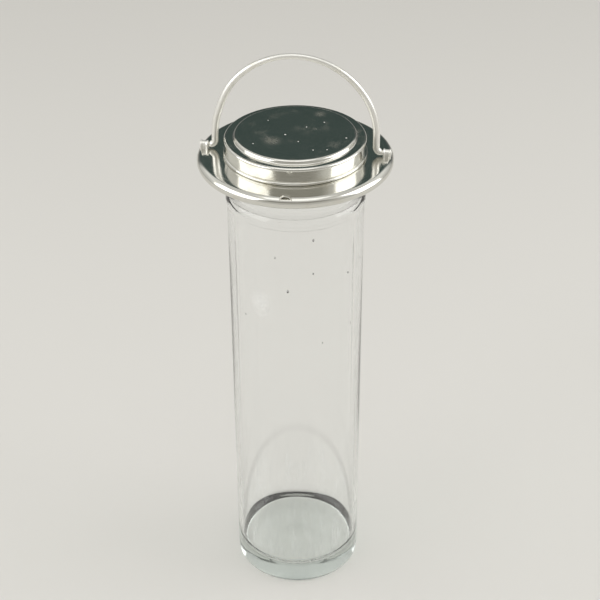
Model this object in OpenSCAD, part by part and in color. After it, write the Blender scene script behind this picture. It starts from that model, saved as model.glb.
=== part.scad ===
// Specimen jar: a tall glass cylinder with a plated collar, a swinging wire bail and a lift-off lid.
// Sizes are in millimetres. Z points up, the foot of the glass stands on Z = 0,
// and the bail turns about a line along X.

/* [Glass] */

// Outer radius of the glass cylinder
glass_r = 38; // [34:0.5:48]
// Height of the glass from its foot to its rim
glass_h = 283; // [180:1:340]
// Thickness of the cylinder wall
glass_wall = 3; // [2.4:0.1:4]
// Thickness of the glass floor
floor_t = 11.5; // [8:0.5:18]
// Rounding inside, between wall and floor
floor_round = 6.5; // [3:0.5:10]
// Rounding of the outer edge of the foot
foot_round = 2.5; // [1:0.25:4]
// How far the two rings below the collar stand out from the wall
ring_out = 0.7; // [0.4:0.05:1.2]
// Height of the lower ring
low_ring_h = 7.2; // [5.4:0.2:10]
// Depth of the groove between the rings, from the wall
groove_in = 1.4; // [0.8:0.1:1.6]
// Height of the upper ring
high_ring_h = 8.8; // [6:0.2:12]
// Height of the upright face of each ring, below its rounded shoulder
ring_face_h = 1.5; // [1.3:0.1:2]
// How far the neck is set in from the wall
neck_in = 1.6; // [1:0.1:1.8]
// Height of the neck inside the collar
neck_h = 11.5; // [10:0.5:16]
// How much the mouth is narrower than the cylinder, in radius
mouth_in = 0.7; // [0.3:0.1:1.2]

/* [Collar] */

// Thickness of the spun metal sheet
sheet_t = 0.9; // [0.7:0.05:1.1]
// Thickness of the cement between neck and collar
cement_t = 1.1; // [0.8:0.1:1.6]
// How far the brim reaches past the glass wall
brim_reach = 15.5; // [14.5:0.5:20]
// Outer radius of the rolled edge
roll_r = 3.2; // [2.4:0.1:3.6]
// Hollow rounding under the brim, where it turns into the skirt
skirt_bend = 1.2; // [0.8:0.1:2]
// Width of the small half-round hood at the front of the brim
hood_w = 7; // [5:0.5:9]

/* [Bail] */

// Diameter of the bail wire
wire_d = 3.4; // [3:0.1:3.8]
// Diameter of the thinner pin at each end of the wire
pin_d = 2.8; // [2.2:0.1:2.8]
// How far the middle of the bail reaches past the brim when it is laid down
bail_past_brim = 0.2; // [0.2:0.1:10]
// Bend radius where each leg turns outward into its lug
bend_r = 3.5; // [2.5:0.1:4.5]
// Length of each lug
lug_len = 4.3; // [3.6:0.1:5]
// Wall of the lug round the pin
lug_wall = 0.55; // [0.5:0.05:0.9]

/* [Lid] */

// Height of the lid from its lower edge to the ledge
lid_h = 9.6; // [8:0.1:16]
// How much the lid wall draws in from the ledge down to its lower edge
lid_taper = 0.7; // [0:0.1:1]
// Height of the bead round the lower edge of the lid
bead_h = 1.6; // [1.2:0.1:2]
// Width of the flat ledge round the raised panel
ledge_w = 5.3; // [4:0.1:12]
// Height of the raised panel above the ledge
panel_h = 2; // [1.5:0.1:3.5]
// Rounding of the edge of the raised panel
panel_round = 1.5; // [1.2:0.1:1.5]
// Rounding of the outer edge of the ledge
ledge_round = 1.3; // [1.2:0.1:2]
// How deep the sleeve of the lid drops below its flange
sleeve_depth = 11; // [7:0.5:16]
// Thickness of the sealing ring
seal_t = 1.2; // [0.8:0.1:1.8]

/* [Clearances] */

// Play between the pin and the bore of a lug, in radius
pin_clear = 0.08; // [0.04:0.01:0.1]
// Space between the bail laid down and the top of the brim
rest_gap = 0.45; // [0.35:0.05:1]
// Space between the foot of a leg and the face of its lug
leg_gap = 0.3; // [0.3:0.05:0.6]
// Joint line between the top of the brim and the lid
lid_gap = 0.3; // [0.3:0.05:0.8]
// Space between the lid sleeve and the mouth of the glass
sleeve_gap = 0.35; // [0.35:0.05:0.6]
// Space between the flange of the sleeve and the sealing ring
seal_gap = 0.35; // [0.35:0.05:0.6]

/* [Hidden] */

$fn = 96;

// Glass
bore_r = glass_r - glass_wall;
mouth_r = bore_r - mouth_in;
neck_r = glass_r - neck_in;
groove_r = glass_r - groove_in;
neck_low = glass_h - neck_h;
groove_z = neck_low - high_ring_h;
ring_low = groove_z - low_ring_h;
rim_round = 0.6;
mouth_slope_h = 10;

// Collar
collar_in = neck_r + cement_t;
collar_r = collar_in + sheet_t;
collar_top = glass_h + 0.3;
collar_low = neck_low - 1;
cement_low = neck_low + 0.3;
lip_in = neck_r + 0.15;
brim_r = glass_r + brim_reach;
roll_x = brim_r - roll_r;
roll_z = collar_top - roll_r;
roll_end = 250;
seam = 0.05;

// Bail and lugs
wire_r = wire_d / 2;
pin_r = pin_d / 2;
pin_z = collar_top + wire_r + rest_gap;
lug_r = pin_r + pin_clear + lug_wall;
lug_out = brim_r - 1.6;
lug_in = lug_out - lug_len;
lug_flange = 0.35;
lug_flange_t = 0.9;
bend_x = lug_in - leg_gap;
leg_x = bend_x - bend_r;
bail_rise = brim_r + bail_past_brim;
arch_z = pin_z + bail_rise - leg_x;
pin_end = lug_out + 0.4;
pin_chamfer = 0.4;

// Hood on the brim
hood_r = hood_w / 2;
hood_wall = 0.8;
hood_front = brim_r - 1.4;
hood_back = hood_front - 3.65;
hood_z = collar_top - 1.7;
hood_sink = sheet_t / 3;

// Lid
lid_low = collar_top + lid_gap;
lid_top_r = collar_r + 0.2;
lid_low_r = lid_top_r - lid_taper;
bead_r = bead_h / 2;
bead_x = lid_low_r + bead_r / 2;
ledge_z = lid_low + lid_h;
panel_r = lid_top_r - ledge_w;
panel_z = ledge_z + panel_h;
seal_top = glass_h + seal_t;
seal_in = mouth_r + 0.2;
seal_out = neck_r - 0.2;
flange_z = max(seal_top + seal_gap, lid_low + 0.2);
sleeve_r = mouth_r - sleeve_gap;
sleeve_low = flange_z - sleeve_depth;

// Radius of the lid's wall at a height, measured on its inside.
function lid_inside_r(z) = lid_low_r - sheet_t
    + lid_taper * (z - lid_low) / (ledge_z - ledge_round - lid_low);

// Half section of a ring on the glass: a rounded lower edge, an upright face and a round shoulder.
module ring_section(low, height, top_r) {
  ring_r = glass_r + ring_out;
  rise = height - ring_face_h;
  draw_in = ring_r - top_r;
  bend = (rise * rise + draw_in * draw_in) / (2 * draw_in);
  translate([0, low])
    square([glass_r, ring_out + seam]);
  translate([glass_r, low + ring_out])
    circle(ring_out);
  intersection() {
    translate([0, low + ring_out])
      square([glass_r + 2 * ring_out, height - ring_out + seam]);
    union() {
      translate([0, low])
        square([ring_r, ring_face_h]);
      translate([ring_r - bend, low + ring_face_h])
        circle(bend);
    }
  }
}

// Half section of everything inside the outline of the glass.
module glass_outline() {
  translate([0, foot_round])
    square([glass_r, ring_low + 0.1 - foot_round]);
  square([glass_r - foot_round, foot_round + 0.1]);
  translate([glass_r - foot_round, foot_round])
    circle(foot_round);
  ring_section(ring_low, low_ring_h, groove_r);
  ring_section(groove_z, high_ring_h, neck_r);
  translate([0, neck_low - 0.1])
    square([neck_r, neck_h + 0.1 - rim_round]);
  translate([0, glass_h - rim_round - 0.1])
    square([neck_r - rim_round, rim_round + 0.1]);
  translate([neck_r - rim_round, glass_h - rim_round])
    circle(rim_round);
}

// Half section of the space inside the glass.
module glass_inside() {
  translate([0, floor_t + floor_round])
    square([bore_r, ring_low - floor_t - floor_round]);
  translate([0, floor_t])
    square([bore_r - floor_round, floor_round + 0.1]);
  translate([bore_r - floor_round, floor_t + floor_round])
    circle(floor_round);
  polygon([
    [0, ring_low - 0.1],
    [bore_r, ring_low - 0.1],
    [bore_r, ring_low],
    [mouth_r, ring_low + mouth_slope_h],
    [mouth_r, glass_h - rim_round],
    [mouth_r + rim_round, glass_h],
    [mouth_r + rim_round, glass_h + 1],
    [0, glass_h + 1]
  ]);
}

// The jar itself, with a thick floor, two low rings and a set-in neck.
module glass_jar() {
  color([0.82, 0.88, 0.87, 0.35])
    rotate_extrude()
      difference() {
        glass_outline();
        glass_inside();
      }
}

// Cement that fills the space between the neck and the collar.
module cement_ring() {
  color([0.86, 0.84, 0.79])
    rotate_extrude()
      translate([neck_r, cement_low])
        square([cement_t, glass_h - rim_round - sheet_t - cement_low]);
}

// Half section of the rolled edge of the brim: a ring that stays open on its inner side.
module roll_section() {
  reach = 2 * roll_r;
  translate([roll_x, roll_z])
    difference() {
      circle(roll_r);
      circle(roll_r - sheet_t);
      polygon([
        [0, 0],
        [0, reach],
        [reach * cos(150), reach * sin(150)],
        [reach * cos(200), reach * sin(200)],
        [reach * cos(roll_end), reach * sin(roll_end)]
      ]);
    }
}

// Half section of the hollow corner between the skirt and the underside of the brim.
module skirt_corner() {
  low = collar_top - sheet_t - skirt_bend;
  translate([collar_r, low])
    difference() {
      translate([-seam, 0])
        square(skirt_bend + seam);
      translate([skirt_bend, 0])
        circle(skirt_bend);
    }
}

// Half section of the space under the top of the brim and its rolled edge, lowered by a depth.
module under_brim(depth) {
  translate([roll_x, roll_z])
    circle(roll_r - depth);
  translate([collar_in, roll_z - roll_r])
    square([roll_x - collar_in, 2 * roll_r - depth]);
}

// Pressed-up half-round hood at the front of the brim, open towards the edge.
module hood_shape(r, front) {
  translate([0, -hood_back, hood_z])
    rotate([90, 0, 0])
      cylinder(h = front - hood_back, r = r);
  translate([0, -hood_back, hood_z])
    sphere(r);
}

module hood() {
  difference() {
    hood_shape(hood_r, hood_front);
    hood_shape(hood_r - hood_wall, hood_front + 1);
    rotate_extrude()
      under_brim(hood_sink);
  }
}

// Plated collar: a skirt round the neck, a flat brim with a rolled edge, and the hood.
module collar() {
  color([0.80, 0.79, 0.75])
    union() {
      rotate_extrude()
        union() {
          translate([collar_in, collar_low])
            square([sheet_t, collar_top - collar_low]);
          translate([lip_in, collar_top - sheet_t])
            square([roll_x + seam - lip_in, sheet_t]);
          skirt_corner();
          roll_section();
        }
      hood();
    }
}

// Outline of a lug seen along the bail's axis: round over the pin, straight down to the brim.
module lug_outline(r) {
  circle(r);
  translate([-r, -2 * roll_r])
    square([2 * r, 2 * roll_r]);
}

// One lug: a barrel with flanged ends that stands on the brim, on the side of +X.
module lug() {
  difference() {
    translate([lug_in, 0, pin_z])
      rotate([90, 0, 90]) {
        linear_extrude(lug_len)
          lug_outline(lug_r);
        linear_extrude(lug_flange_t)
          lug_outline(lug_r + lug_flange);
        translate([0, 0, lug_len - lug_flange_t])
          linear_extrude(lug_flange_t)
            lug_outline(lug_r + lug_flange);
      }
    translate([lug_in - 1, 0, pin_z])
      rotate([0, 90, 0])
        cylinder(h = lug_len + 2, r = pin_r + pin_clear);
    rotate_extrude()
      under_brim(0);
  }
}

module left_lug() {
  color([0.78, 0.77, 0.73])
    mirror([1, 0, 0])
      lug();
}

module right_lug() {
  color([0.78, 0.77, 0.73])
    lug();
}

// One leg of the bail with its bend and the pin that turns in the lug, on the side of +X.
module bail_leg() {
  translate([bend_x - seam, 0, pin_z])
    rotate([0, 90, 0])
      cylinder(h = pin_end - pin_chamfer - bend_x + seam, r = pin_r);
  translate([pin_end - pin_chamfer, 0, pin_z])
    rotate([0, 90, 0])
      cylinder(h = pin_chamfer, r1 = pin_r, r2 = pin_r - pin_chamfer);
  translate([bend_x, 0, pin_z + bend_r])
    rotate([90, 0, 0])
      rotate([0, 0, 180])
        rotate_extrude(angle = 90)
          translate([bend_r, 0])
            circle(wire_r);
  translate([leg_x, 0, pin_z + bend_r])
    cylinder(h = arch_z - pin_z - bend_r, r = wire_r);
}

// Bail: one wire bent to an arch, with both ends turned outward.
module bail_handle() {
  color([0.80, 0.79, 0.75])
    union() {
      bail_leg();
      mirror([1, 0, 0])
        bail_leg();
      translate([0, 0, arch_z])
        rotate([90, 0, 0])
          rotate_extrude(angle = 180)
            translate([leg_x, 0])
              circle(wire_r);
    }
}

// Soft ring on the rim of the glass.
module sealing_ring() {
  color([0.16, 0.15, 0.14])
    rotate_extrude()
      translate([seal_in, glass_h])
        square([seal_out - seal_in, seal_t]);
}

// Ring soldered inside the lid, with a flange above and a sleeve that drops into the mouth.
module lid_sleeve() {
  color([0.74, 0.73, 0.69])
    rotate_extrude()
      union() {
        translate([sleeve_r - sheet_t, sleeve_low])
          square([sheet_t, sleeve_depth + sheet_t]);
        polygon([
          [sleeve_r - sheet_t, flange_z],
          [lid_inside_r(flange_z), flange_z],
          [lid_inside_r(flange_z + sheet_t), flange_z + sheet_t],
          [sleeve_r - sheet_t, flange_z + sheet_t]
        ]);
      }
}

// Half section of the lid's outline, drawn in by a wall thickness.
module lid_outline(wall, low) {
  ledge_bend = ledge_round - wall;
  panel_bend = panel_round - wall;
  polygon([
    [0, low],
    [lid_low_r - wall, low],
    [lid_low_r - wall, lid_low],
    [lid_top_r - wall, ledge_z - ledge_round],
    [lid_top_r - ledge_round, ledge_z - ledge_round],
    [lid_top_r - ledge_round, ledge_z - wall],
    [0, ledge_z - wall]
  ]);
  translate([lid_top_r - ledge_round, ledge_z - ledge_round])
    circle(ledge_bend);
  translate([0, ledge_z - wall - 0.1])
    square([panel_r - wall, panel_h - panel_round + wall + 0.1]);
  translate([0, panel_z - panel_round - 0.1])
    square([panel_r - panel_round, panel_bend + 0.1]);
  translate([panel_r - panel_round, panel_z - panel_round])
    circle(panel_bend);
}

// Lid: a beaded lower edge, an upright wall, a flat ledge and a raised panel, all of thin sheet.
module lid_shell() {
  color([0.80, 0.79, 0.75])
    rotate_extrude()
      difference() {
        union() {
          lid_outline(0, lid_low);
          translate([bead_x, lid_low + bead_r])
            circle(bead_r);
        }
        lid_outline(sheet_t, lid_low - 1);
      }
}

glass_jar();
cement_ring();
collar();
left_lug();
right_lug();
bail_handle();
sealing_ring();
lid_sleeve();
lid_shell();
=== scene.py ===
# %% [markdown]
# # A specimen jar
# A tall glass cylinder carries a plated metal collar with a wide flat brim. A wire bail swings
# in two lugs on the brim, and a plated lid with a raised panel lifts off. Every shape here is
# a function of two numbers on a grid: a profile turned round the jar, or a section carried
# along a path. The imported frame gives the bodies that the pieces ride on.

# %% Load the frame
import math

import bmesh
import bpy
import numpy as np
from mathutils import Euler, Matrix, Vector


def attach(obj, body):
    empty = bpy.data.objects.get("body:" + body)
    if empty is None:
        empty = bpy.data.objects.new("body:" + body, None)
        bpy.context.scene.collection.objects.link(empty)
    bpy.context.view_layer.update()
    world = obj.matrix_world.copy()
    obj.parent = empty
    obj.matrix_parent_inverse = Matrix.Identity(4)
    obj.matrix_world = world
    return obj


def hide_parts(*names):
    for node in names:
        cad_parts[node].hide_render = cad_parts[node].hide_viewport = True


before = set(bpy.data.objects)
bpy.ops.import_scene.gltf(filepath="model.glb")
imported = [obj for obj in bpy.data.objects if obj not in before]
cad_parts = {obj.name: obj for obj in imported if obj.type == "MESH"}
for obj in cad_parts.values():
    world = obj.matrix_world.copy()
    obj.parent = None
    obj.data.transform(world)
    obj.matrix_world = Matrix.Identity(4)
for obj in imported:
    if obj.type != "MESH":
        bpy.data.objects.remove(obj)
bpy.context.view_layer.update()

# %% [markdown]
# ## The camera
# The view looks down on the jar from the front, a little to the right of the bail's middle.
# The focal length and the place come from fitting the round edges of the lid, brim and foot
# to ellipses, so they are set as plain numbers in metres and degrees.

# %% Camera
CAMERA_PLACE = (0.08145, -0.6855, 0.64144)
CAMERA_DOWN = 33.346
CAMERA_TURN = 6.6
CAMERA_ROLL = -0.286
CAMERA_LENS = 85.58

camera_data = bpy.data.cameras.new("camera")
camera_data.lens = CAMERA_LENS
camera_data.sensor_width = 36.0
camera_data.clip_start = 0.01
camera = bpy.data.objects.new("camera", camera_data)
aim = Euler((math.radians(90 - CAMERA_DOWN), 0, math.radians(CAMERA_TURN))).to_matrix()
aim = aim @ Matrix.Rotation(math.radians(CAMERA_ROLL), 3, "Z")
camera.matrix_world = Matrix.Translation(CAMERA_PLACE) @ aim.to_4x4()
bpy.context.scene.collection.objects.link(camera)
bpy.context.scene.camera = camera
print("camera looks along", [round(v, 3) for v in aim @ Vector((0, 0, -1))])

# %% [markdown]
# ## Tools for profiles and grids
# A jar is mostly turned work, so a few small functions join straight lines and arcs into a
# profile, and one turns a profile round the upright axis. All of them build whole arrays, and
# the mesh takes the arrays in one call.

# %% Profile tools
MM = 0.001


def arc(x, z, radius, start, end, steps):
    """Points of a circle about (x, z), from one angle to another in degrees."""
    angle = np.radians(np.linspace(start, end, steps))
    return np.stack([x + radius * np.cos(angle), z + radius * np.sin(angle)], axis=1)


def line(start, end, steps):
    """Points at even steps on the straight line between two points."""
    return np.linspace(start, end, steps)


def join(*parts):
    """One path from several, with points that repeat left out."""
    path = np.concatenate([np.atleast_2d(np.asarray(part, float)) for part in parts])
    step = np.linalg.norm(np.diff(path, axis=0), axis=1)
    return path[np.concatenate([[True], step > 1e-5])]


def ramp(value, start, full):
    """0 up to one value, 1 from another on, and a straight line between them."""
    return np.clip((value - start) / (full - start), 0, 1)


# %% Mesh from a grid of points
def close_mesh(mesh):
    """Merges the points that meet at a pole, which drops the faces that have no area there."""
    work = bmesh.new()
    work.from_mesh(mesh)
    bmesh.ops.remove_doubles(work, verts=work.verts, dist=1e-7)
    work.to_mesh(mesh)
    work.free()
    mesh.update()


def grid_mesh(name, points, uv, wrap_rows, wrap_columns, sharp=38.0):
    """A mesh of four-sided faces over a grid of points, in millimetres.

    points has the shape (copies, rows, columns, 3), or without copies for a single grid. Face
    (i, j) joins the points i and i + 1, j and j + 1, and a wrapped direction joins its last
    points to its first. uv has one row and one column more, so a seam keeps its own values.
    """
    rows, columns = points.shape[-3:-1]
    copies = points.size // (rows * columns * 3)
    i = np.arange(rows if wrap_rows else rows - 1)
    j = np.arange(columns if wrap_columns else columns - 1)
    i, j = (a.ravel() for a in np.meshgrid(i, j, indexing="ij"))
    i_next, j_next = (i + 1) % rows, (j + 1) % columns
    faces = np.stack(
        [i * columns + j, i * columns + j_next, i_next * columns + j_next, i_next * columns + j],
        axis=1,
    )
    faces = (faces + np.arange(copies)[:, None, None] * rows * columns).reshape(-1, 4)
    corners = np.stack([uv[i, j], uv[i, j + 1], uv[i + 1, j + 1], uv[i + 1, j]], axis=1)
    mesh = bpy.data.meshes.new(name)
    mesh.from_pydata((points.reshape(-1, 3) * MM).tolist(), [], faces.tolist())
    layer = mesh.uv_layers.new(name="surface")
    layer.data.foreach_set("uv", np.tile(corners.ravel() * MM, copies))
    mesh.polygons.foreach_set("use_smooth", np.ones(len(faces), bool))
    close_mesh(mesh)
    mesh.set_sharp_from_angle(angle=math.radians(sharp))
    piece = bpy.data.objects.new(name, mesh)
    bpy.context.scene.collection.objects.link(piece)
    print(name, "faces:", len(mesh.polygons))
    return piece


# %% Turned work
def turn(name, profile, closed, steps=288, wobble=None, sharp=38.0):
    """A profile of (radius, height) points turned round the upright axis.

    The profile runs with the material on its left. wobble(profile, angle) gives a (points,
    angles) array of millimetres that is added to the radius.
    """
    angle = np.linspace(0, 2 * np.pi, steps, endpoint=False)
    radius = np.repeat(profile[:, :1], steps, axis=1)
    if wobble is not None:
        radius = radius + wobble(profile, angle)
    height = np.repeat(profile[:, 1:], steps, axis=1)
    points = np.stack([radius * np.cos(angle), radius * np.sin(angle), height], axis=2)
    loop = np.concatenate([profile, profile[:1]])
    length = np.concatenate([[0], np.cumsum(np.linalg.norm(np.diff(loop, axis=0), axis=1))])
    around = np.linspace(0, 2 * np.pi, steps + 1) * profile[:, 0].max()
    uv = np.stack(np.meshgrid(length, around, indexing="ij")[::-1], axis=2)
    return grid_mesh(name, points, uv, closed, True, sharp)


# %% [markdown]
# ## The glass jar
# The jar is one closed wall of glass: a foot with a shallow ground hollow in its middle, an
# upright outside, two rings with round shoulders, a set-in neck, and the inside with its
# rounded floor. Sizes are in millimetres, heights from the table and radii from the axis.

# %% Profile of the glass
GLASS_R, GLASS_H, BORE_R, MOUTH_R, NECK_R = 38.0, 283.0, 35.0, 34.3, 36.4
FLOOR_T, FLOOR_ROUND, FOOT_ROUND, RIM_ROUND = 11.5, 6.5, 2.5, 0.6
RING_LOW, RING_MID, RING_TOP = 255.5, 262.7, 271.5
RING_OUT, RING_FACE, GROOVE_R = 0.7, 1.5, 36.6
HOLLOW_R, HOLLOW_DEEP = 11.5, 0.5
MOUTH_SLOPE_TOP = RING_LOW + 10


def ring_path(low, high, top_r):
    """A ring from its lower edge up: a quarter circle, an upright face and a round shoulder.

    The shoulder is the circle that leaves the face upright and goes through the ring's top.
    """
    ring_r = GLASS_R + RING_OUT
    rise, draw_in = high - low - RING_FACE, ring_r - top_r
    bend = (rise**2 + draw_in**2) / (2 * draw_in)
    lean = math.degrees(math.asin(rise / bend))
    return join(
        arc(GLASS_R, low + RING_OUT, RING_OUT, -90, 0, 9),
        arc(ring_r - bend, low + RING_FACE, bend, 0, lean, 17),
    )


def glass_profile():
    """From the middle of the foot, up the outside, over the rim and down to the inner floor."""
    hollow = (HOLLOW_R**2 + HOLLOW_DEEP**2) / (2 * HOLLOW_DEEP)
    reach = math.degrees(math.asin(HOLLOW_R / hollow))
    return join(
        arc(0, HOLLOW_DEEP - hollow, hollow, 90, 90 - reach, 12),
        line((HOLLOW_R, 0), (GLASS_R - FOOT_ROUND, 0), 16),
        arc(GLASS_R - FOOT_ROUND, FOOT_ROUND, FOOT_ROUND, -90, 0, 13),
        line((GLASS_R, FOOT_ROUND), (GLASS_R, RING_LOW), 30),
        ring_path(RING_LOW, RING_MID, GROOVE_R),
        line((GROOVE_R, RING_MID), (GLASS_R, RING_MID), 4),
        ring_path(RING_MID, RING_TOP, NECK_R),
        line((NECK_R, RING_TOP), (NECK_R, GLASS_H - RIM_ROUND), 6),
        arc(NECK_R - RIM_ROUND, GLASS_H - RIM_ROUND, RIM_ROUND, 0, 90, 7),
        arc(MOUTH_R + RIM_ROUND, GLASS_H - RIM_ROUND, RIM_ROUND, 90, 180, 7),
        line((MOUTH_R, GLASS_H - RIM_ROUND), (MOUTH_R, MOUTH_SLOPE_TOP), 8),
        line((MOUTH_R, MOUTH_SLOPE_TOP), (BORE_R, RING_LOW), 8),
        line((BORE_R, RING_LOW), (BORE_R, FLOOR_T + FLOOR_ROUND), 60),
        arc(BORE_R - FLOOR_ROUND, FLOOR_T + FLOOR_ROUND, FLOOR_ROUND, 0, -90, 21),
        line((BORE_R - FLOOR_ROUND, FLOOR_T), (0, FLOOR_T), 24),
    )


# %% [markdown]
# Old cylinder glass is never quite even, so the inside has slow waves and a few upright draw
# lines, some hundredths of a millimetre deep. They bend what is seen through the wall.

# %% Glass jar
DRAW_LINES = np.array([-119.5, -84.3, -58.0, -26.0, 35.0, 78.0, 128.0, 165.0, 214.0])
LINE_DEEP, LINE_WIDE = [0.09, -0.09, 0.06], 1.5
FADE_LOW, FADE_HIGH, FADE_LINES = (20, 50), (252, 240), (110, 170)


def draw_waves(profile, angle):
    """Unevenness of the inner wall: two slow waves plus narrow upright lines.

    Each line is a bell curve across the wall, LINE_WIDE degrees wide. All of it fades out
    towards the mouth and the floor, and the lines already end half way down.
    """
    radius, height = profile[:, :1], profile[:, 1:]
    inside = (radius > 20) & (radius < BORE_R + 0.01) & (height > FLOOR_T + 0.01)
    fade = inside * ramp(height, *FADE_LOW) * ramp(height, *FADE_HIGH)
    slow = 0.05 * np.sin(3 * angle + height / 60) + 0.04 * np.sin(5 * angle - height / 35 + 1)
    apart = (np.degrees(angle)[:, None] - DRAW_LINES + 180) % 360 - 180
    lines = np.exp(-((apart / LINE_WIDE) ** 2)) @ np.resize(LINE_DEEP, len(DRAW_LINES))
    return fade * (slow + ramp(height, *FADE_LINES) * lines)


glass_jar = turn("glass_cylinder", glass_profile(), False, steps=360, wobble=draw_waves)

# %% [markdown]
# ## The collar
# The collar is spun from one sheet: a skirt round the neck, a flat brim and an edge rolled
# over into a tube. The profile walks once round the sheet, first along the hidden underside
# and then back along the polished top.

# %% Collar
SHEET = 0.9
COLLAR_R, COLLAR_LOW, COLLAR_TOP, COLLAR_LIP = 38.4, 270.5, 283.3, 36.55
ROLL_X, ROLL_R, ROLL_END, SKIRT_BEND = 50.3, 3.2, -110.0, 1.2
ROLL_Z = COLLAR_TOP - ROLL_R


def collar_profile():
    """Once round the sheet of the collar, underside first, with the metal on the left."""
    skirt, under = COLLAR_R - SHEET, COLLAR_TOP - SHEET
    return join(
        [(skirt, COLLAR_LOW), (COLLAR_R, COLLAR_LOW)],
        line((COLLAR_R, COLLAR_LOW + 0.2), (COLLAR_R, under - SKIRT_BEND), 6),
        arc(COLLAR_R + SKIRT_BEND, under - SKIRT_BEND, SKIRT_BEND, 180, 90, 9),
        line((COLLAR_R + SKIRT_BEND, under), (ROLL_X, under), 8),
        arc(ROLL_X, ROLL_Z, ROLL_R - SHEET, 90, ROLL_END, 40),
        arc(ROLL_X, ROLL_Z, ROLL_R, ROLL_END, 90, 48),
        line((ROLL_X, COLLAR_TOP), (COLLAR_LIP, COLLAR_TOP), 14),
        [(COLLAR_LIP, under), (skirt, under)],
    )


collar = turn("collar_and_brim", collar_profile(), True)

# %% [markdown]
# ## The hood on the brim
# At the front of the brim the sheet is pushed up into a small half-round hood that is open
# towards the edge. Its section is an arch with a wall, carried back from the mouth and drawn
# together into a dome. Its feet follow the brim, so the height of the brim at any radius is
# a function of its own.

# %% Hood
HOOD_R, HOOD_WALL, HOOD_FRONT, HOOD_BACK, HOOD_X, HOOD_Z = 3.5, 0.45, 52.6, 51.6, 0.9, 281.6
HOOD_SINK, HOOD_FOOT = 0.3, -0.8


def brim_top(radius):
    """Height of the upper side of the flat brim and its rolled edge at a radius."""
    out = np.clip(radius - ROLL_X, 0, ROLL_R)
    return ROLL_Z + np.sqrt(ROLL_R**2 - out**2)


def hood_grid():
    """Arch sections from the mouth back to the tip of the dome, outer line then inner line."""
    tip = HOOD_R * np.sin(np.linspace(0, np.pi / 2, 12))
    back = np.concatenate([np.linspace(HOOD_FRONT, HOOD_BACK, 4)[:-1], HOOD_BACK - tip])
    shrink = np.sqrt(np.clip(1 - (np.clip(HOOD_BACK - back, 0, None) / HOOD_R) ** 2, 0, 1))
    arch = np.radians(np.linspace(0, 180, 25))
    across = np.concatenate([[1.0], np.cos(arch), [-1.0]])
    up = np.concatenate([[HOOD_FOOT], np.sin(arch), [HOOD_FOOT]])
    across = np.concatenate([across, (1 - HOOD_WALL / HOOD_R) * across[::-1]])
    up = np.concatenate([up, (1 - HOOD_WALL / HOOD_R) * up[::-1]])
    x = HOOD_X + HOOD_R * shrink[:, None] * across
    z = HOOD_Z + HOOD_R * shrink[:, None] * up
    y = -np.repeat(back[:, None], x.shape[1], axis=1)
    z = np.maximum(z, brim_top(np.hypot(x, y)) - HOOD_SINK)
    sections = np.stack([x, y, z], axis=2)
    lip = (sections[0] + sections[0, ::-1]) / 2
    return np.concatenate([lip[None], sections])


def even_uv(points, row_step, column_step):
    """Pattern coordinates that grow by a fixed number of millimetres per grid line."""
    rows, columns = points.shape[:2]
    steps = np.arange(rows + 1) * row_step, np.arange(columns + 1) * column_step
    return np.stack(np.meshgrid(*steps, indexing="ij"), axis=2)


hood_points = hood_grid()[:, ::-1]
hood = grid_mesh("brim_hood", hood_points, even_uv(hood_points, 0.6, 0.4), False, True)

# %% [markdown]
# ## The lugs
# Each lug is a short barrel with flanged ends that holds one end of the bail. Seen along the
# wire it is round above and runs straight down to the brim below. For each direction round
# the wire, a closed loop goes through the bore, over one face, along the outside and back.

# %% Lugs
PIN_Z = 285.45
LUG_IN, LUG_OUT, LUG_R, LUG_BORE = 47.6, 51.9, 2.03, 1.48
LUG_FLANGE, LUG_FLANGE_T, LUG_EDGE = 0.35, 0.9, 0.22
LUG_RIM, LUG_SINK = 0.6, 0.25


def lug_loop():
    """The loop of one lug: how far along the wire, and how far from bore (0) to outside (1)."""
    length = LUG_OUT - LUG_IN
    round_off = np.linspace(0, np.pi / 2, 6)
    along = np.concatenate([np.zeros(3), LUG_EDGE * (1 - np.cos(round_off))])
    level = np.concatenate([[0.3, 0.6, 0.8], 0.8 + 0.2 * np.sin(round_off)])
    outside = np.linspace(LUG_EDGE, length - LUG_EDGE, 42)
    along = np.concatenate([np.linspace(length, 0, 6), along, outside, length - along[::-1]])
    level = np.concatenate([np.zeros(6), level, np.ones(42), level[::-1]])
    return along[:, None], level[:, None]


def lug_grid(side):
    """Points of a lug on the left (-1) or right (+1), which are the same turned half round.

    The outside lies at one distance above the wire. Below it, the two straight sides and the
    brim limit the distance, and half the width grows towards the flanges at both ends.
    """
    direction = np.linspace(0, 2 * np.pi, 120, endpoint=False)[None, :]
    along, level = lug_loop()
    from_end = np.minimum(along, LUG_OUT - LUG_IN - along)
    half = LUG_R + LUG_FLANGE * (1 - np.clip((from_end - LUG_RIM) / LUG_FLANGE_T, 0, 1)) ** 2
    x = LUG_IN + along
    low = PIN_Z - brim_top(np.hypot(x, half * np.cos(direction))) + LUG_SINK
    down = np.clip(-np.sin(direction), 1e-6, None)
    straight = half / np.clip(np.abs(np.cos(direction)), 1e-6, None)
    reach = np.where(np.sin(direction) >= 0, half, np.minimum(straight, low / down))
    distance = LUG_BORE + level * (reach - LUG_BORE)
    y, z = distance * np.cos(direction), PIN_Z + distance * np.sin(direction)
    return np.stack([side * np.broadcast_to(x, y.shape), side * y, z], axis=2)


left_points, right_points = lug_grid(-1), lug_grid(1)
left_lug = grid_mesh("lug_left", left_points, even_uv(left_points, 0.2, 0.16), True, True)
right_lug = grid_mesh("lug_right", right_points, even_uv(right_points, 0.2, 0.16), True, True)

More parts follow.
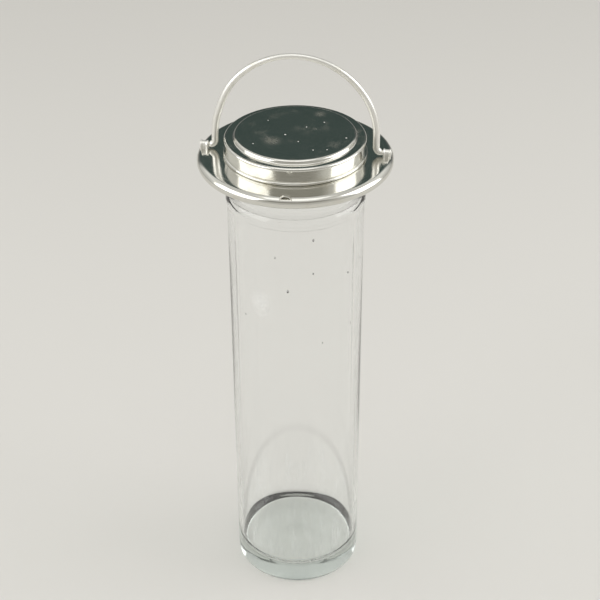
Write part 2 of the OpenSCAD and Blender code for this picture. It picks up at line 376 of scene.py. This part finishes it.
# %% [markdown]
# ## The bail
# The bail is one round wire. Its path runs in from one pin, bends up into a leg, over a half
# circle and down again. A wire bent by hand is not a true circle: both shoulders lie a little
# inside it, the left one by a millimetre. A circle is carried along the path, thinner at the
# top, where the wire was drawn out when it was bent, and filed down to a pin at each end.

# %% Path of the bail
LEG_X, BEND_R, ARCH_Z, PIN_END = 43.8, 3.5, 295.35, 52.3
SHOULDER_PULL, LEFT_PULL, LEFT_ANGLE, LEFT_SPREAD = 0.35, 1.1, 161.0, 17.0


def bail_path():
    """Centre line of the wire in its own plane, from the right pin to the left one."""
    bend_x, bend_z = LEG_X + BEND_R, PIN_Z + BEND_R
    right = join(
        line((PIN_END, PIN_Z), (bend_x, PIN_Z), 24),
        arc(bend_x, bend_z, BEND_R, 270, 180, 17),
        line((LEG_X, bend_z), (LEG_X, ARCH_Z), 12),
        arc(0, ARCH_Z, LEG_X, 0, 90, 90),
    )
    path = join(right, (right * [-1, 1])[::-1])
    out = path - [0, ARCH_Z]
    angle = np.degrees(np.arctan2(out[:, 1], out[:, 0])) % 360
    above = ramp(path[:, 1], bend_z, ARCH_Z)
    shoulders = SHOULDER_PULL * np.sin(np.radians(2 * angle)) ** 2
    left = LEFT_PULL * np.exp(-(((angle - LEFT_ANGLE) / LEFT_SPREAD) ** 2))
    pull = above * (shoulders + left)
    return path - pull[:, None] * out / np.linalg.norm(out, axis=1)[:, None]


# %% Bail
WIRE_PIN, WIRE_LEG, WIRE_TOP = 1.4, 1.88, 1.42
TAPER_START, TAPER_LONG, PIN_ROUND = LEG_X + BEND_R + 0.1, 1.8, 0.5


def bail_grid(sides):
    """Circles across the path: centre + radius * (cos * normal + sin * Y)."""
    path = bail_path()
    tangent = np.gradient(path, axis=0)
    tangent /= np.linalg.norm(tangent, axis=1)[:, None]
    normal = np.stack([tangent[:, 1], -tangent[:, 0]], axis=1)
    leg = np.clip((TAPER_START - np.abs(path[:, 0])) / TAPER_LONG, 0, 1)
    leg = leg * leg * (3 - 2 * leg)
    rise = np.clip((path[:, 1] - ARCH_Z) / LEG_X, 0, 1)
    radius = WIRE_PIN + (WIRE_LEG - WIRE_PIN) * leg + (WIRE_TOP - WIRE_LEG) * rise**4
    run = np.concatenate([[0], np.cumsum(np.linalg.norm(np.diff(path, axis=0), axis=1))])
    from_end = np.clip(np.minimum(run, run[-1] - run) / PIN_ROUND, 0, 1)
    radius = (radius * np.sqrt(1 - (1 - from_end) ** 2))[:, None]
    around = np.linspace(0, 2 * np.pi, sides, endpoint=False)
    flat = path[:, None, :] + (radius * np.cos(around))[:, :, None] * normal[:, None, :]
    points = np.stack([flat[:, :, 0], radius * np.sin(around), flat[:, :, 1]], axis=2)
    spread = np.linspace(0, 2 * np.pi * WIRE_PIN, sides + 1)
    uv = np.stack(np.meshgrid(np.append(run, run[-1]), spread, indexing="ij"), axis=2)
    return points, uv


bail_points, bail_uv = bail_grid(40)
bail = grid_mesh("wire_bail", bail_points, bail_uv, False, True)

# %% [markdown]
# ## The lid
# The lid is thin sheet too: a beaded lower edge, an upright wall that draws in a little
# downward, a flat ledge and a raised panel with a soft edge. The profile starts at the middle
# of the underside.

# %% Lid
LID_LOW, LID_LOW_R, LID_TOP_R, LEDGE_Z, LEDGE_ROUND = 283.36, 37.9, 38.6, 293.2, 1.3
PANEL_R, PANEL_Z, PANEL_ROUND, PANEL_FOOT = 33.3, 295.2, 1.5, 0.7
BEAD_R, BEAD_X, BEAD_END = 0.85, 38.3, 112.0
WALL_FOOT = (LID_LOW_R + 0.14, LID_LOW + 1.9)


def lid_profile():
    """Underside of the panel, inside of the wall, the bead, then back up the outside."""
    inner_panel, inner_top = PANEL_R - SHEET, LID_TOP_R - SHEET
    return join(
        line((0, PANEL_Z - SHEET), (PANEL_R - PANEL_ROUND, PANEL_Z - SHEET), 16),
        arc(PANEL_R - PANEL_ROUND, PANEL_Z - PANEL_ROUND, PANEL_ROUND - SHEET, 90, 0, 6),
        line((inner_panel, PANEL_Z - PANEL_ROUND), (inner_panel, LEDGE_Z - SHEET), 3),
        line((inner_panel, LEDGE_Z - SHEET), (LID_TOP_R - LEDGE_ROUND, LEDGE_Z - SHEET), 4),
        arc(LID_TOP_R - LEDGE_ROUND, LEDGE_Z - LEDGE_ROUND, LEDGE_ROUND - SHEET, 90, 0, 6),
        line((inner_top, LEDGE_Z - LEDGE_ROUND), (LID_LOW_R - SHEET, LID_LOW), 6),
        arc(BEAD_X, LID_LOW + BEAD_R, BEAD_R, -90, BEAD_END, 16),
        line(WALL_FOOT, (LID_TOP_R, LEDGE_Z - LEDGE_ROUND), 16),
        arc(LID_TOP_R - LEDGE_ROUND, LEDGE_Z - LEDGE_ROUND, LEDGE_ROUND, 0, 90, 13),
        line((LID_TOP_R - LEDGE_ROUND, LEDGE_Z), (PANEL_R + PANEL_FOOT, LEDGE_Z), 8),
        arc(PANEL_R + PANEL_FOOT, LEDGE_Z + PANEL_FOOT, PANEL_FOOT, 270, 180, 8),
        arc(PANEL_R - PANEL_ROUND, PANEL_Z - PANEL_ROUND, PANEL_ROUND, 0, 90, 15),
        line((PANEL_R - PANEL_ROUND, PANEL_Z), (0, PANEL_Z), 30),
    )


lid_shell = turn("lid_with_panel", lid_profile(), False)

# %% [markdown]
# Inside the lid a soldered ring drops a sleeve into the mouth of the glass. A rubber ring on
# the rim of the glass takes the weight, and plaster cement holds the collar on the neck. These
# three are seen only when the lid is lifted or from below, and each is one simple profile.

# %% Sleeve, seal and cement
SLEEVE_R, SLEEVE_LOW, FLANGE_R, FLANGE_Z = 33.95, 273.55, 37.05, 284.55
SEAL_IN, SEAL_OUT, SEAL_T, SEAL_ROUND = 34.5, 36.2, 1.2, 0.4
CEMENT_LOW, CEMENT_TOP = 271.8, 281.5

sleeve_profile = join(
    [(SLEEVE_R - SHEET, SLEEVE_LOW), (SLEEVE_R, SLEEVE_LOW), (SLEEVE_R, FLANGE_Z)],
    [(FLANGE_R, FLANGE_Z), (FLANGE_R, FLANGE_Z + SHEET), (SLEEVE_R - SHEET, FLANGE_Z + SHEET)],
)
lid_sleeve = turn("lid_locating_sleeve", sleeve_profile, True)
seal_low, seal_high = GLASS_H + SEAL_ROUND, GLASS_H + SEAL_T - SEAL_ROUND
seal_profile = join(
    arc(SEAL_IN + SEAL_ROUND, seal_low, SEAL_ROUND, 180, 270, 6),
    arc(SEAL_OUT - SEAL_ROUND, seal_low, SEAL_ROUND, 270, 360, 6),
    arc(SEAL_OUT - SEAL_ROUND, seal_high, SEAL_ROUND, 0, 90, 6),
    arc(SEAL_IN + SEAL_ROUND, seal_high, SEAL_ROUND, 90, 180, 6),
)
sealing_ring = turn("rim_sealing_ring", seal_profile, True)
cement_profile = join(
    [(NECK_R, CEMENT_LOW), (COLLAR_R - SHEET, CEMENT_LOW)],
    [(COLLAR_R - SHEET, CEMENT_TOP), (NECK_R, CEMENT_TOP)],
)
cement_ring = turn("collar_cement", cement_profile, True)

# %% [markdown]
# ## Seeds in the glass
# Blown glass holds a few small bubbles, which glassmakers call seeds. Each is a small ball
# of air inside the wall, a little longer upright than across, because the glass was drawn
# upward while it was soft. The list gives its direction round the jar, its height and its size.

# %% Seeds
SEEDS = np.array([
    [-68.8, 248.9, 0.55], [-68.8, 227.9, 0.40], [-90.4, 216.9, 0.60], [-33.4, 221.2, 0.50],
    [-9.0, 222.5, 0.45], [-28.5, 185.9, 0.40], [-132.6, 194.1, 0.40], [-60.2, 180.9, 0.35],
    [64.0, 104.0, 0.40], [118.0, 196.0, 0.45], [171.0, 58.0, 0.40], [205.0, 150.0, 0.50],
])
SEED_STRETCH = 1.5
seed_turn, seed_z, seed_size = (SEEDS[:, k, None, None] for k in range(3))
ball_up = np.linspace(-np.pi / 2, np.pi / 2, 9)[None, :, None]
ball_round = np.linspace(0, 2 * np.pi, 16, endpoint=False)[None, None, :]
middle = (BORE_R + GLASS_R) / 2
seed_points = np.stack(np.broadcast_arrays(
    middle * np.cos(np.radians(seed_turn)) + seed_size * np.cos(ball_up) * np.cos(ball_round),
    middle * np.sin(np.radians(seed_turn)) + seed_size * np.cos(ball_up) * np.sin(ball_round),
    seed_z + SEED_STRETCH * seed_size * np.sin(ball_up) * np.ones_like(ball_round),
), axis=3)
seeds = grid_mesh("glass_seeds", seed_points, np.zeros((10, 17, 2)), False, True)

# %% [markdown]
# ## Who rides on what
# The glass, collar, lugs, seal and cement stand still, the bail swings and the lid lifts. The
# hood belongs to the collar's solid and the seeds to the glass, so these two replace nothing.

# %% Bodies, replaced solids and material slots
PLACES = [
    (glass_jar, "jar", "clear_glass", "glass_jar"),
    (collar, "jar", "plated_metal", "collar"),
    (left_lug, "jar", "plated_metal", "left_lug"),
    (right_lug, "jar", "plated_metal", "right_lug"),
    (sealing_ring, "jar", "seal_rubber", "sealing_ring"),
    (cement_ring, "jar", "plaster_cement", "cement_ring"),
    (bail, "bail", "plated_metal", "bail_handle"),
    (lid_shell, "lid", "plated_metal", "lid_shell"),
    (lid_sleeve, "lid", "plated_metal", "lid_sleeve"),
    (hood, "jar", "plated_metal", None),
    (seeds, "jar", "clear_glass", None),
]
for piece, body, slot, solid in PLACES:
    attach(piece, body)
    if solid:
        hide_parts(solid)
print("pieces:", len(PLACES))

# %% [markdown]
# ## Tools for materials
# Colours are written as they look on a screen, so one function turns them into the linear
# numbers that light is reckoned in. One more function adds a node with its settings, and
# takes for each input either a plain value or the output that feeds it.

# %% Material tools
def linear(code):
    """A screen colour such as '#c0ffee' as linear red, green, blue and full alpha."""
    value = np.array([int(code[i:i + 2], 16) for i in (1, 3, 5)]) / 255
    bright = np.where(value <= 0.04045, value / 12.92, ((value + 0.055) / 1.055) ** 2.4)
    return (*bright.tolist(), 1.0)


def add(tree, kind, inputs=None, **settings):
    """A new node: settings are its own properties, inputs are values or outputs to link."""
    node = tree.nodes.new(kind)
    for key, value in settings.items():
        setattr(node, key, value)
    for key, value in (inputs or {}).items():
        if isinstance(value, bpy.types.NodeSocket):
            tree.links.new(value, node.inputs[key])
        else:
            node.inputs[key].default_value = value
    return node


def new_material(name):
    """An empty material and its tree, with the output node."""
    material = bpy.data.materials.new(name)
    material.use_nodes = True
    tree = material.node_tree
    tree.nodes.clear()
    return material, tree, tree.nodes.new("ShaderNodeOutputMaterial")


def per(size):
    """The scale of a pattern whose features are this many millimetres apart."""
    return 1 / (size * MM)


# %% Spots at given places
def spots(tree, place, marks, soft):
    """The strongest of several oval spots: 1 in the middle of a mark, 0 outside it.

    A mark is x, y, z, width, height in millimetres. soft is the share of it that fades.
    """
    best = 0.0
    for x, y, z, wide, high in marks:
        moved = add(tree, "ShaderNodeVectorMath", {
            0: place, 1: (x * MM, y * MM, z * MM)}, operation="SUBTRACT")
        shaped = add(tree, "ShaderNodeVectorMath", {
            0: moved.outputs["Vector"], 1: (2 * per(wide), 2 * per(wide), 2 * per(high))},
            operation="MULTIPLY")
        far = add(tree, "ShaderNodeVectorMath", {0: shaped.outputs["Vector"]}, operation="LENGTH")
        spot = add(tree, "ShaderNodeMapRange", {
            "Value": far.outputs["Value"], "From Min": 1.0, "From Max": 1.0 - soft},
            interpolation_type="SMOOTHSTEP")
        best = add(tree, "ShaderNodeMath", {0: best, 1: spot.outputs["Result"]},
                   operation="MAXIMUM").outputs["Value"]
    return best


# %% [markdown]
# ## Plated metal
# The mounts are brass with a bright silver-coloured plate, polished by hand. That gives the
# eye a clear, slightly warm mirror with hair scratches, thin brownish tarnish in patches that
# dulls it, and a few white specks on the panel. The mirror is a little uneven, because the
# sheet was spun over a form. The wire and the lugs are worn by hands to a satin that spreads
# the light. Their plate also gets a lighter colour than the polished plate, a painted
# brightening that makes them look whiter.

# %% Plated metal
PANEL_MARKS = np.array([
    [-5.0, -3.3, 1.1], [14.4, 13.6, 0.9], [-16.4, 12.9, 0.7], [5.4, 6.9, 0.8], [2.9, -10.7, 0.8],
    [11.7, -19.6, 0.9], [19.0, -18.5, 0.8], [-20.7, -15.5, 0.8], [27.9, -3.9, 1.0],
])
SPECKS = [(x, y, PANEL_Z, wide, wide) for x, y, wide in PANEL_MARKS.tolist()]
TARNISH = [(-11.0, -11.3, PANEL_Z, 15.0, 15.0), (11.2, 23.5, PANEL_Z, 10.0, 10.0)]


def plated_metal(name, clean, smooth, worn):
    """Plate of a clean colour between two roughnesses, with tarnish, hair scratches, specks."""
    material, tree, out = new_material(name)
    coords = add(tree, "ShaderNodeTexCoord")
    place = coords.outputs["Object"]
    slow = add(tree, "ShaderNodeTexNoise", {
        "Vector": place, "Scale": per(14), "Detail": 5.0, "Roughness": 0.62})
    thin = add(tree, "ShaderNodeMapRange", {
        "Value": slow.outputs["Fac"], "From Min": 0.54, "From Max": 0.74, "To Max": 0.35})
    film = add(tree, "ShaderNodeMath", {
        0: spots(tree, place, TARNISH, 0.9), 1: 0.35, 2: thin.outputs["Result"]},
        operation="MULTIPLY_ADD", use_clamp=True)
    # Real hair scratches are hundredths of a millimetre apart, too fine to show, so these
    # are drawn half a millimetre apart and twelve millimetres long.
    stretch = add(tree, "ShaderNodeMapping", {
        "Vector": coords.outputs["UV"], "Scale": (per(12), per(0.5), 1.0)})
    hair = add(tree, "ShaderNodeTexNoise", {
        "Vector": stretch.outputs["Vector"], "Scale": 1.0, "Detail": 3.0}, noise_dimensions="2D")
    speck = spots(tree, place, SPECKS, 0.3)
    colour = add(tree, "ShaderNodeMix", {
        "Factor": film.outputs["Value"], "A": linear(clean), "B": linear("#beb59c")},
        data_type="RGBA")
    dusty = add(tree, "ShaderNodeMix", {
        "Factor": speck, "A": colour.outputs["Result"], "B": linear("#f4f2ec")}, data_type="RGBA")
    rough = add(tree, "ShaderNodeMapRange", {
        "Value": hair.outputs["Fac"], "From Min": 0.35, "From Max": 0.75,
        "To Min": smooth, "To Max": worn})
    rough_film = add(tree, "ShaderNodeMath", {
        0: film.outputs["Value"], 1: 0.5, 2: rough.outputs["Result"]}, operation="MULTIPLY_ADD")
    rough_all = add(tree, "ShaderNodeMath", {
        0: speck, 1: 0.6, 2: rough_film.outputs["Value"]}, operation="MULTIPLY_ADD")
    bare = add(tree, "ShaderNodeMath", {0: 1.0, 1: speck}, operation="SUBTRACT")
    uneven = add(tree, "ShaderNodeTexNoise", {"Vector": place, "Scale": per(20), "Detail": 1.0})
    dents = add(tree, "ShaderNodeBump", {
        "Height": uneven.outputs["Fac"], "Strength": 1.0, "Distance": 0.08 * MM})
    scratches = add(tree, "ShaderNodeBump", {
        "Height": hair.outputs["Fac"], "Strength": 0.35, "Distance": 0.01 * MM,
        "Normal": dents.outputs["Normal"]})
    metal = add(tree, "ShaderNodeBsdfPrincipled", {
        "Base Color": dusty.outputs["Result"], "Metallic": bare.outputs["Value"],
        "Roughness": rough_all.outputs["Value"], "Normal": scratches.outputs["Normal"]})
    tree.links.new(metal.outputs["BSDF"], out.inputs["Surface"])
    return material


silver_plate = plated_metal("polished_silver_plate", "#dddcd6", 0.09, 0.17)
# The satin copy of the plate is painted a lighter colour than the polished one, painted brightness
# on the wire and lugs.
satin_plate_painted_lighter = plated_metal("satin_silver_plate_painted_lighter", "#efeee9", 0.36, 0.48)

# %% [markdown]
# ## Clear glass
# The jar is soda-lime glass, blown and drawn into a cylinder: clear, with a faint grey-green
# tint where it is thick. It has been handled, so one smudge from a fingertip, a hazy patch on
# the left and dried water marks scatter a little light. Lamps shine through it, so rays that
# look for a lamp pass straight on.

# %% Clear glass
GLASS_IOR = 1.52
SMUDGE = (-16.2, -34.4, 206.0, 17.0, 26.0)
HAZE = [(-33.8, -17.5, 191.0, 14.0, 56.0), (-27.0, -26.7, 107.0, 2.4, 46.0)]


def clear_glass():
    """Glass with a smudge of fine ridges, hazy patches, and water marks towards the foot."""
    material, tree, out = new_material("drawn_soda_lime_glass")
    coords = add(tree, "ShaderNodeTexCoord")
    place = coords.outputs["Object"]
    axes = add(tree, "ShaderNodeSeparateXYZ", {"Vector": place})
    drip = add(tree, "ShaderNodeMapping", {"Vector": place, "Scale": (per(6), per(6), per(30))})
    marks = add(tree, "ShaderNodeTexNoise", {
        "Vector": drip.outputs["Vector"], "Scale": 1.0, "Detail": 6.0, "Roughness": 0.7})
    low = add(tree, "ShaderNodeMapRange", {
        "Value": axes.outputs["Z"], "From Min": 0.085, "From Max": 0.03})
    foot = add(tree, "ShaderNodeMapRange", {
        "Value": axes.outputs["Z"], "From Min": 0.014, "From Max": 0.024})
    wet = add(tree, "ShaderNodeMath", {0: low.outputs["Result"], 1: foot.outputs["Result"]},
              operation="MULTIPLY")
    soil = add(tree, "ShaderNodeMath", {
        0: spots(tree, place, HAZE, 0.9), 1: 0.8, 2: wet.outputs["Value"]},
        operation="MULTIPLY_ADD")
    stain = add(tree, "ShaderNodeMapRange", {
        "Value": marks.outputs["Fac"], "From Min": 0.5, "From Max": 0.74, "To Max": 0.2})
    dried = add(tree, "ShaderNodeMath", {0: stain.outputs["Result"], 1: soil.outputs["Value"]},
                operation="MULTIPLY")
    from_smudge = add(tree, "ShaderNodeVectorMath", {
        0: place, 1: tuple(v * MM for v in SMUDGE[:3])}, operation="SUBTRACT")
    ridges = add(tree, "ShaderNodeTexWave", {
        "Vector": from_smudge.outputs["Vector"], "Scale": per(0.9) / 6.28, "Distortion": 2.5,
        "Detail": 1.0, "Detail Scale": 0.5}, wave_type="RINGS", rings_direction="SPHERICAL")
    grease = add(tree, "ShaderNodeTexNoise", {
        "Vector": place, "Scale": per(4), "Detail": 4.0, "Roughness": 0.65})
    cloud = add(tree, "ShaderNodeMapRange", {
        "Value": grease.outputs["Fac"], "From Min": 0.34, "From Max": 0.7})
    print_mark = add(tree, "ShaderNodeMath", {
        0: ridges.outputs["Fac"], 1: 0.35, 2: cloud.outputs["Result"]}, operation="MULTIPLY_ADD")
    touch = add(tree, "ShaderNodeMath", {
        0: spots(tree, place, [SMUDGE], 0.8), 1: print_mark.outputs["Value"]},
        operation="MULTIPLY")
    soiled = add(tree, "ShaderNodeMath", {
        0: touch.outputs["Value"], 1: 0.22, 2: dried.outputs["Value"]}, operation="MULTIPLY_ADD")
    clear = add(tree, "ShaderNodeMath", {0: 1.0, 1: soiled.outputs["Value"]}, operation="SUBTRACT")
    rough = add(tree, "ShaderNodeMath", {0: soiled.outputs["Value"], 1: 0.6}, operation="MULTIPLY")
    glass = add(tree, "ShaderNodeBsdfPrincipled", {
        "Base Color": linear("#ffffff"), "IOR": GLASS_IOR, "Roughness": rough.outputs["Value"],
        "Transmission Weight": clear.outputs["Value"]})
    rays = add(tree, "ShaderNodeLightPath")
    through = add(tree, "ShaderNodeBsdfTransparent", {"Color": linear("#f6f8f7")})
    mixed = add(tree, "ShaderNodeMixShader", {
        0: rays.outputs["Is Shadow Ray"], 1: glass.outputs["BSDF"], 2: through.outputs["BSDF"]})
    tree.links.new(mixed.outputs["Shader"], out.inputs["Surface"])
    tint = add(tree, "ShaderNodeVolumeAbsorption", {"Color": linear("#c9d5ce"), "Density": 12.0})
    tree.links.new(tint.outputs["Volume"], out.inputs["Volume"])
    return material


jar_glass = clear_glass()

# %% [markdown]
# A seed is air inside glass. Air bends light the other way, so its ratio is one over that of
# the glass, and the ball shows as a small dark ring with a bright middle.

# %% Air in the seeds
def seed_air():
    """A clear ball whose light bends as it does on the way from glass into air."""
    material, tree, out = new_material("air_seed_in_glass")
    ball = add(tree, "ShaderNodeBsdfGlass", {
        "Color": linear("#ffffff"), "Roughness": 0.0, "IOR": 1 / GLASS_IOR})
    tree.links.new(ball.outputs["BSDF"], out.inputs["Surface"])
    return material


air = seed_air()

# %% [markdown]
# ## Rubber and cement
# Both are almost out of sight. The rubber ring is dark and dull with a fine bloom, and the
# plaster cement is chalky with grains of sand.

# %% Rubber and cement
def dull_solid(name, dark, pale, grain, roughness, depth):
    """A dull surface whose colour and height follow one noise with grains of a given size."""
    material, tree, out = new_material(name)
    coords = add(tree, "ShaderNodeTexCoord")
    noise = add(tree, "ShaderNodeTexNoise", {
        "Vector": coords.outputs["Object"], "Scale": per(grain), "Detail": 4.0})
    colour = add(tree, "ShaderNodeMix", {
        "Factor": noise.outputs["Fac"], "A": linear(dark), "B": linear(pale)}, data_type="RGBA")
    bump = add(tree, "ShaderNodeBump", {
        "Height": noise.outputs["Fac"], "Strength": 0.6, "Distance": depth * MM})
    surface = add(tree, "ShaderNodeBsdfPrincipled", {
        "Base Color": colour.outputs["Result"], "Roughness": roughness,
        "Normal": bump.outputs["Normal"]})
    tree.links.new(surface.outputs["BSDF"], out.inputs["Surface"])
    return material


seal_rubber = dull_solid("moulded_black_rubber", "#1d1b1a", "#33302d", 0.8, 0.7, 0.03)
plaster = dull_solid("plaster_cement", "#cfc9bb", "#e9e5da", 0.6, 0.9, 0.08)

# %% Put the finishes on
FINISHES = [
    (glass_jar, jar_glass), (seeds, air), (collar, silver_plate), (hood, silver_plate),
    (left_lug, satin_plate_painted_lighter), (right_lug, satin_plate_painted_lighter), (bail, satin_plate_painted_lighter),
    (lid_shell, silver_plate), (lid_sleeve, silver_plate), (sealing_ring, seal_rubber),
    (cement_ring, plaster),
]
for piece, finish in FINISHES:
    piece.data.materials.clear()
    piece.data.materials.append(finish)
print("materials:", sorted({finish.name for _, finish in FINISHES}))

# %% [markdown]
# ## Floor and light
# The jar stands on a plain pale floor. The room is soft: pale overhead and at the sides, where
# the wire and the rounded edges mirror it, greyer in front, and dark behind, where the flat top
# of the lid mirrors it. Two soft boxes left and right show as white blocks on the wall of the
# lid. What is front and what is behind is measured along the camera's level direction.

# %% Floor
FLOOR_R, FLOOR_DROP = 4000.0, 0.05


def floor_mesh(rings, steps):
    """A flat disc a hair below the foot: rings of points at even steps from its middle."""
    out_to = np.linspace(FLOOR_R, 0, rings)[:, None]
    angle = np.linspace(0, 2 * np.pi, steps, endpoint=False)[None, :]
    flat = np.full((rings, steps), -FLOOR_DROP)
    points = np.stack([out_to * np.cos(angle), out_to * np.sin(angle), flat], axis=2)
    return grid_mesh("floor", points, np.zeros((rings + 1, steps + 1, 2)), False, True)


floor = floor_mesh(12, 96)
floor_material, floor_tree, floor_out = new_material("pale_floor")
floor_shader = add(floor_tree, "ShaderNodeBsdfPrincipled", {
    "Base Color": linear("#d9d7d3"), "Roughness": 0.85, "Specular IOR Level": 0.2})
floor_tree.links.new(floor_shader.outputs["BSDF"], floor_out.inputs["Surface"])
floor.data.materials.append(floor_material)

# %% Lamps
LAMP_AIM = Vector((0, 0, 0.4))
SOFT_BOXES = [
    ("soft_box_left", (-1.20, -0.54, 0.92), (1.55, 1.25), 9.8),
    ("soft_box_right", (1.28, 0.10, 0.92), (1.1, 1.25), 8.5),
    ("soft_box_above", (0.0, -0.2, 1.9), (1.2, 1.2), 3.5),
]
for name, place, (wide, high), power in SOFT_BOXES:
    lamp_data = bpy.data.lights.new(name, "AREA")
    lamp_data.shape = "RECTANGLE"
    lamp_data.energy = power
    lamp_data.size, lamp_data.size_y = wide, high
    lamp = bpy.data.objects.new(name, lamp_data)
    towards = LAMP_AIM - Vector(place)
    facing = towards.to_track_quat("-Z", "Y").to_matrix().to_4x4()
    lamp.matrix_world = Matrix.Translation(place) @ facing
    bpy.context.scene.collection.objects.link(lamp)

# %% World
BANDS_BEHIND = [
    (0.0, "#8a8a88"), (0.2, "#626665"), (0.4, "#3f4c49"), (0.5, "#44514e"), (0.68, "#aeb2b0"),
    (0.9, "#dcdad5"),
]
BANDS_SIDE = [(0.0, "#c8c8c4"), (0.35, "#dddcd8"), (0.55, "#f8f8f4"), (0.8, "#d6d5d1")]
BANDS_FRONT = [(0.0, "#cfcdc8"), (0.3, "#b1b0a9"), (0.53, "#7b7970"), (0.75, "#e0deda")]
FADE_TO_FRONT, FADE_TO_BEHIND = (-0.45, -0.75), (0.69, 0.81)


def sky_bands(tree, height, bands):
    """Colours in bands from the horizon (0) to overhead (1)."""
    blend = add(tree, "ShaderNodeValToRGB", {"Fac": height})
    stops = blend.color_ramp.elements
    stops[0].position, stops[0].color = bands[0][0], linear(bands[0][1])
    stops[1].position, stops[1].color = bands[-1][0], linear(bands[-1][1])
    for position, code in bands[1:-1]:
        stops.new(position).color = linear(code)
    return blend.outputs["Color"]


world = bpy.data.worlds.new("studio")
bpy.context.scene.world = world
world.use_nodes = True
sky_tree = world.node_tree
sky_tree.nodes.clear()
sky_out = sky_tree.nodes.new("ShaderNodeOutputWorld")
sky = add(sky_tree, "ShaderNodeTexCoord")
sky_axes = add(sky_tree, "ShaderNodeSeparateXYZ", {"Vector": sky.outputs["Generated"]})
turned = math.radians(CAMERA_TURN)
depth = add(sky_tree, "ShaderNodeVectorMath", {
    0: sky.outputs["Generated"], 1: (-math.sin(turned), math.cos(turned), 0.0)},
    operation="DOT_PRODUCT")
room = sky_bands(sky_tree, sky_axes.outputs["Z"], BANDS_SIDE)
for bands, (start, full) in [(BANDS_FRONT, FADE_TO_FRONT), (BANDS_BEHIND, FADE_TO_BEHIND)]:
    share = add(sky_tree, "ShaderNodeMapRange", {
        "Value": depth.outputs["Value"], "From Min": start, "From Max": full},
        interpolation_type="SMOOTHSTEP")
    colours = sky_bands(sky_tree, sky_axes.outputs["Z"], bands)
    room = add(sky_tree, "ShaderNodeMix", {
        "Factor": share.outputs["Result"], "A": room, "B": colours},
        data_type="RGBA").outputs["Result"]
back = add(sky_tree, "ShaderNodeBackground", {"Color": room, "Strength": 1.0})
sky_tree.links.new(back.outputs["Background"], sky_out.inputs["Surface"])
bpy.context.scene.view_settings.view_transform = "Standard"
